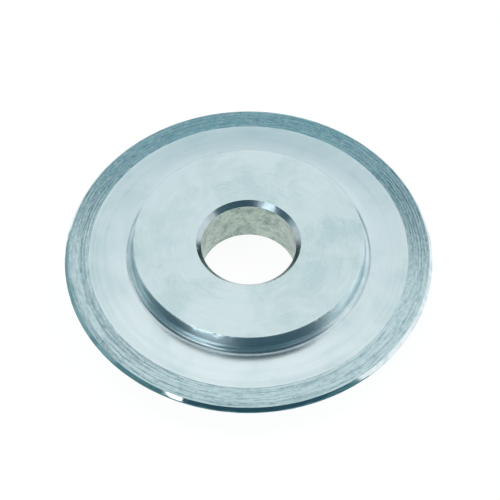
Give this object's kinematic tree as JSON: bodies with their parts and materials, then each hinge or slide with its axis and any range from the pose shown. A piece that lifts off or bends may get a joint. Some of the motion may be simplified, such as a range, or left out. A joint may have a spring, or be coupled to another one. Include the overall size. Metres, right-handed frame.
{
  "type": "pipe cutter wheel",
  "caption": "Round cutting wheel for a tube cutter: raised hub on each side, thin web, ground ring and sharp rim, with a chamfered bore for the axle pin.",
  "frame": {"origin": "centre of the wheel, on its axis and in the plane of the cutting edge", "axes": "+Z along the axis of the wheel, out of the upper hub face"},
  "size_m": [0.019, 0.019, 0.003],
  "materials": {
    "steel": "turned faces and a ground ring, bare steel"
  },
  "bodies": {
    "root": {"cutter_wheel": "steel"}
  },
  "joints": []
}
